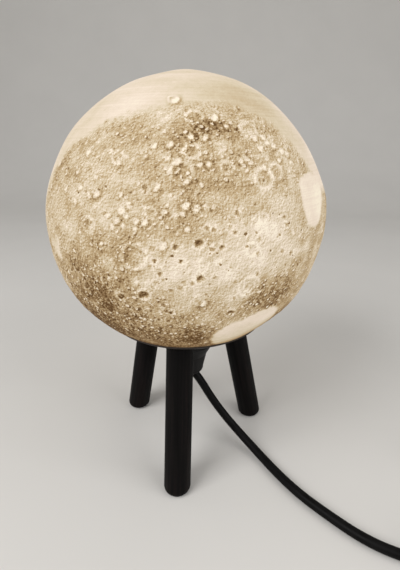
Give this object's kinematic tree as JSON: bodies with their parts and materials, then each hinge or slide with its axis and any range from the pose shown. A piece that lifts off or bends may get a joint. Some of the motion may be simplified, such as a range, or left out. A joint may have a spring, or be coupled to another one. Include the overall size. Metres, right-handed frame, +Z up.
{
  "type": "planet lamp",
  "caption": "Table lamp: a glowing cratered globe on splayed dark wooden legs, with a black lamp holder under it and a cord with inline switch, put-away coil and plug.",
  "frame": {"origin": "on the floor, under the middle of the globe", "axes": "+Z up; the front leg points to -Y; the cord runs out to +X"},
  "size_m": [0.4185, 0.218, 0.298],
  "materials": {
    "globe_print": "translucent printed relief, lit warm from inside",
    "base_plastic": "opaque dark brown",
    "stained_wood": "turned and stained very dark, satin",
    "steel": "plain zinc plated",
    "holder_plastic": "moulded black",
    "insert_plastic": "moulded dark grey",
    "brass": "plain",
    "wire_sheath": "soft sheath",
    "insulator": "black, moulded",
    "bulb_cap_metal": "rolled, plain",
    "bulb_white": "moulded white",
    "bulb_opal": "opal, lit",
    "board_metal": "white faced board",
    "board_laminate": "laminate",
    "cord_sheath": "round black sheath, satin",
    "switch_plastic": "moulded black",
    "rocker_plastic": "moulded black",
    "tie_plastic": "soft black strap",
    "plug_plastic": "moulded black",
    "pin_metal": "nickel plated"
  },
  "bodies": {
    "stand": {"base_cap": "base_plastic", "leg_front": "stained_wood", "leg_left": "stained_wood", "leg_right": "stained_wood", "leg_screws": "steel", "ring_lower": "holder_plastic", "ring_upper": "holder_plastic", "holder_sleeve": "holder_plastic", "holder_cap": "holder_plastic", "holder_insert": "insert_plastic", "thread_shell": "brass", "centre_contact": "brass", "holder_terminals": "brass", "terminal_screws": "steel", "holder_wires": "wire_sheath", "cord_grip": "holder_plastic", "grip_nut": "holder_plastic", "lamp_cord": "cord_sheath", "switch_base": "switch_plastic", "switch_cover": "switch_plastic", "rocker_pin": "steel", "switch_contacts": "brass", "switch_wires": "wire_sheath", "switch_screws": "steel", "mains_lead": "cord_sheath", "cord_coil": "cord_sheath", "coil_tie": "tie_plastic", "cord_tail": "cord_sheath", "plug_body": "plug_plastic", "plug_pins": "pin_metal", "pin_sleeves": "plug_plastic"},
    "globe": {"globe_shell": "globe_print"},
    "bulb": {"bulb_tip": "brass", "bulb_insulator": "insulator", "bulb_screw_cap": "bulb_cap_metal", "bulb_housing": "bulb_white", "bulb_dome": "bulb_opal", "led_board": "board_metal", "driver_board": "board_laminate"},
    "rocker": {"switch_rocker": "rocker_plastic"}
  },
  "joints": [
    {"name": "globe_lift", "type": "slide", "parent": "stand", "child": "globe", "axis": [0, 0, 1], "range_m": [0, 0.12]},
    {"name": "bulb_unscrew", "type": "slide", "parent": "stand", "child": "bulb", "axis": [0, 0, 1], "range_m": [0, 0.03]},
    {"name": "switch_rocker_tip", "type": "hinge", "parent": "stand", "child": "rocker", "pos_m": [0.22, -0.101, 0.0162], "axis": [0, 1, 0], "range_deg": [-16, 0]}
  ]
}
